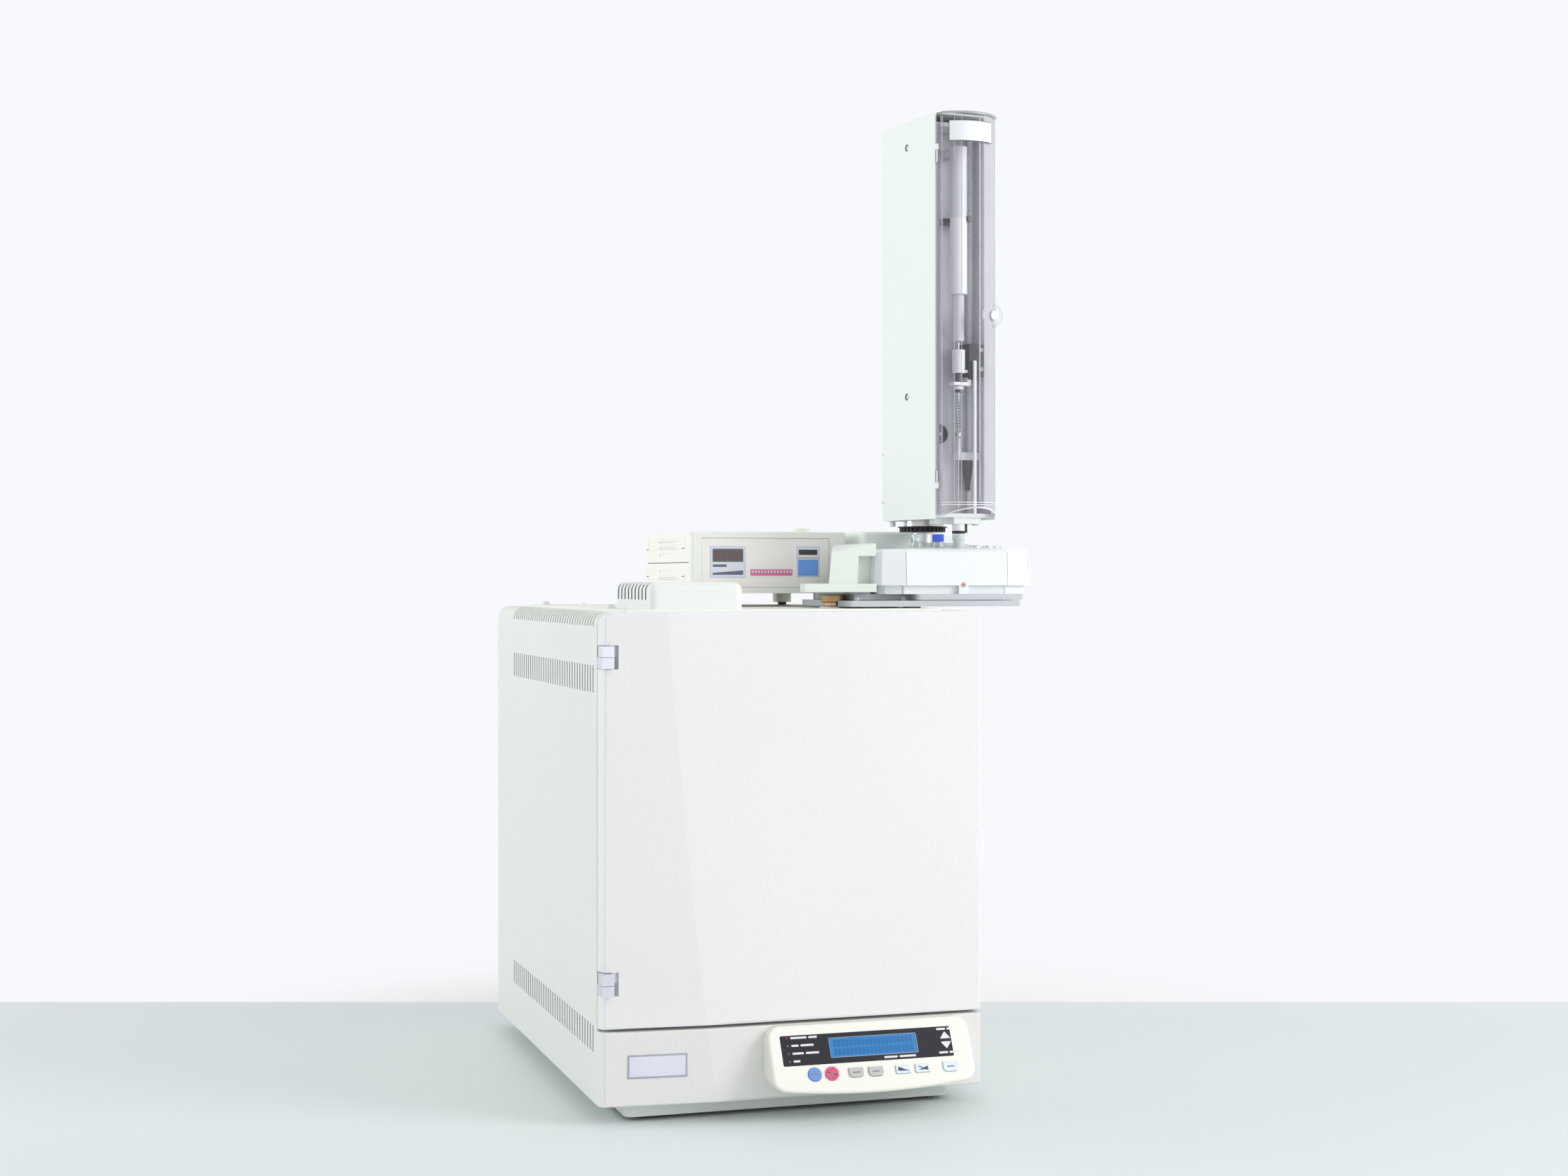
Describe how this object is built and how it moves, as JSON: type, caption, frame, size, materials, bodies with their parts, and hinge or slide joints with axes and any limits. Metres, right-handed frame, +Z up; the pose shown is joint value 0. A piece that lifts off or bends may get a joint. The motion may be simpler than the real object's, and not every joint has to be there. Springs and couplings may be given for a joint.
{
  "type": "gas chromatograph",
  "caption": "Bench gas chromatograph: column oven with hinged door, tilted keypad, gas-sensor box and a turret autosampler with a syringe tower on its top.",
  "frame": {"origin": "middle of the whole object's box, on the bench under the feet", "axes": "+X to the instrument's right seen from the front, +Y to its back, +Z up"},
  "size_m": [0.48, 0.5814, 0.9786],
  "materials": {
    "cabinet_paint": "fine-textured off-white powder coat",
    "door_plastic": "fine-grained white moulding",
    "rubber_black": "matte black rubber",
    "plated_steel": "zinc-plated or stainless steel",
    "oven_steel": "satin stainless steel",
    "insulation": "pressed mineral fibre",
    "black_plastic": "matte black plastic",
    "panel_black": "gloss black window film",
    "keypad_white": "warm white moulding",
    "key_blue": "blue key cap",
    "key_pink": "red-pink key cap",
    "key_grey": "grey key cap",
    "key_pale": "pale blue key cap",
    "circuit_board": "green circuit board",
    "badge_silver": "bare satin plate",
    "hinge_silver": "silver-white painted die casting",
    "sensor_ivory": "ivory instrument case",
    "sensor_beige": "beige-grey front plate",
    "sampler_mint": "pale mint-white paint",
    "sampler_grey": "light grey paint",
    "brass": "aged brass",
    "clear_plastic": "clear moulded cover",
    "vial_glass": "clear glass",
    "copper_wire": "polyimide-brown column winding"
  },
  "bodies": {
    "cabinet": {"base_plinth": "cabinet_paint", "feet": "rubber_black", "side_panel_left": "cabinet_paint", "side_panel_right": "cabinet_paint", "rear_panel": "cabinet_paint", "top_panel": "cabinet_paint", "front_frame": "cabinet_paint", "lower_bezel": "door_plastic", "badge_plate": "badge_silver", "rear_fittings": "plated_steel", "power_inlet": "black_plastic", "oven_casing": "insulation", "oven_liner": "oven_steel", "fan_shroud": "oven_steel", "fan_motor": "plated_steel", "column_coil": "copper_wire", "keypad_housing": "keypad_white", "keypad_panel": "panel_black", "key_board": "circuit_board", "hinge_leaf_body": "hinge_silver", "detector_cover": "cabinet_paint", "sensor_base": "sensor_ivory", "sensor_lid": "sensor_ivory", "sensor_front_panel": "sensor_beige", "sampler_base_plate": "sampler_grey", "sampler_carrier_plate": "sampler_grey", "vial_tray": "sampler_mint", "vials": "vial_glass", "injector_shroud": "sampler_mint", "drive_housing": "sampler_mint", "turret_post": "plated_steel"},
    "door": {"door_shell": "door_plastic", "door_insulation": "insulation", "door_liner": "oven_steel", "door_gasket": "insulation", "hinge_leaf_door": "hinge_silver"},
    "latch": {"latch_tab": "door_plastic"},
    "fan": {"oven_fan": "oven_steel"},
    "flap": {"exhaust_flap": "plated_steel"},
    "rocker": {"power_rocker": "black_plastic"},
    "nut": {"injector_nut": "brass"},
    "sensor_key": {"reset_key": "key_blue"},
    "turret": {"tower_chassis": "plated_steel", "tower_cover": "sampler_mint", "turret_pulley": "black_plastic", "guide_rods": "plated_steel"},
    "viewing_cover": {"clear_cover": "clear_plastic"},
    "syringe_carriage": {"carriage": "black_plastic", "syringe_barrel": "vial_glass"},
    "plunger_drive": {"plunger": "plated_steel"},
    "drive_wheel": {"belt_pulley": "black_plastic"},
    "key_start_body": {"key_start": "key_blue"},
    "key_stop_body": {"key_stop": "key_pink"},
    "key_function_a_body": {"key_function_a": "key_grey"},
    "key_function_b_body": {"key_function_b": "key_grey"},
    "key_decrease_body": {"key_decrease": "key_pale"},
    "key_increase_body": {"key_increase": "key_pale"},
    "key_enter_body": {"key_enter": "key_pale"},
    "key_scroll_up_body": {"key_scroll_up": "key_pale"},
    "key_scroll_down_body": {"key_scroll_down": "key_pale"}
  },
  "joints": [
    {"name": "door_hinge", "type": "hinge", "parent": "cabinet", "child": "door", "pos_m": [-0.2343, -0.24229, 0.284], "axis": [0, 0, -1], "range_deg": [0, 110]},
    {"name": "latch_press", "type": "slide", "parent": "door", "child": "latch", "axis": [-1, 0, 0], "range_m": [0, 0.0018], "stiffness_N_per_m": 800},
    {"name": "fan_spin", "type": "hinge", "parent": "cabinet", "child": "fan", "pos_m": [-0.05, -0.01129, 0.2675], "axis": [0, 1, 0], "continuous": true},
    {"name": "flap_swing", "type": "hinge", "parent": "cabinet", "child": "flap", "pos_m": [-0.05, 0.27821, 0.376], "axis": [1, 0, 0], "range_deg": [0, 60]},
    {"name": "rocker_tip", "type": "hinge", "parent": "cabinet", "child": "rocker", "pos_m": [0.0895, 0.27071, 0.076], "axis": [1, 0, 0], "range_deg": [0, 16]},
    {"name": "nut_turn", "type": "hinge", "parent": "cabinet", "child": "nut", "pos_m": [0.026, -0.13129, 0.488], "axis": [0, 0, 1], "continuous": true},
    {"name": "reset_press", "type": "slide", "parent": "cabinet", "child": "sensor_key", "axis": [0, 1, 0], "range_m": [0, 0.0006], "stiffness_N_per_m": 500},
    {"name": "turret_turn", "type": "hinge", "parent": "cabinet", "child": "turret", "pos_m": [0.144, -0.07329, 0.6], "axis": [0, 0, 1], "range_deg": [-99, 66]},
    {"name": "cover_hinge", "type": "hinge", "parent": "turret", "child": "viewing_cover", "pos_m": [0.12229, -0.17116, 0.77], "axis": [0, 0, -1], "range_deg": [0, 100]},
    {"name": "syringe_descent", "type": "slide", "parent": "turret", "child": "syringe_carriage", "axis": [0, 0, -1], "range_m": [0, 0.03]},
    {"name": "plunger_stroke", "type": "slide", "parent": "syringe_carriage", "child": "plunger_drive", "axis": [0, 0, -1], "range_m": [0, 0.028]},
    {"name": "belt_wheel_spin", "type": "hinge", "parent": "turret", "child": "drive_wheel", "pos_m": [0.13769, -0.13262, 0.657], "axis": [-0.1305, 0.9914, 0], "range_deg": [0, 175]},
    {"name": "key_start_press", "type": "slide", "parent": "cabinet", "child": "key_start_body", "axis": [0, 0.8788, -0.4772], "range_m": [0, 0.0008], "stiffness_N_per_m": 500},
    {"name": "key_stop_press", "type": "slide", "parent": "cabinet", "child": "key_stop_body", "axis": [0, 0.8788, -0.4772], "range_m": [0, 0.0008], "stiffness_N_per_m": 500},
    {"name": "key_function_a_press", "type": "slide", "parent": "cabinet", "child": "key_function_a_body", "axis": [0, 0.8788, -0.4772], "range_m": [0, 0.0008], "stiffness_N_per_m": 500},
    {"name": "key_function_b_press", "type": "slide", "parent": "cabinet", "child": "key_function_b_body", "axis": [0, 0.8788, -0.4772], "range_m": [0, 0.0008], "stiffness_N_per_m": 500},
    {"name": "key_decrease_press", "type": "slide", "parent": "cabinet", "child": "key_decrease_body", "axis": [0, 0.8788, -0.4772], "range_m": [0, 0.0008], "stiffness_N_per_m": 500},
    {"name": "key_increase_press", "type": "slide", "parent": "cabinet", "child": "key_increase_body", "axis": [0, 0.8788, -0.4772], "range_m": [0, 0.0008], "stiffness_N_per_m": 500},
    {"name": "key_enter_press", "type": "slide", "parent": "cabinet", "child": "key_enter_body", "axis": [0, 0.8788, -0.4772], "range_m": [0, 0.0008], "stiffness_N_per_m": 500},
    {"name": "key_scroll_up_press", "type": "slide", "parent": "cabinet", "child": "key_scroll_up_body", "axis": [0, 0.8788, -0.4772], "range_m": [0, 0.0004], "stiffness_N_per_m": 500},
    {"name": "key_scroll_down_press", "type": "slide", "parent": "cabinet", "child": "key_scroll_down_body", "axis": [0, 0.8788, -0.4772], "range_m": [0, 0.0004], "stiffness_N_per_m": 500}
  ],
  "couplings": [
    {"joint": "belt_wheel_spin", "follows": "syringe_descent", "rad_per_m": 100}
  ]
}
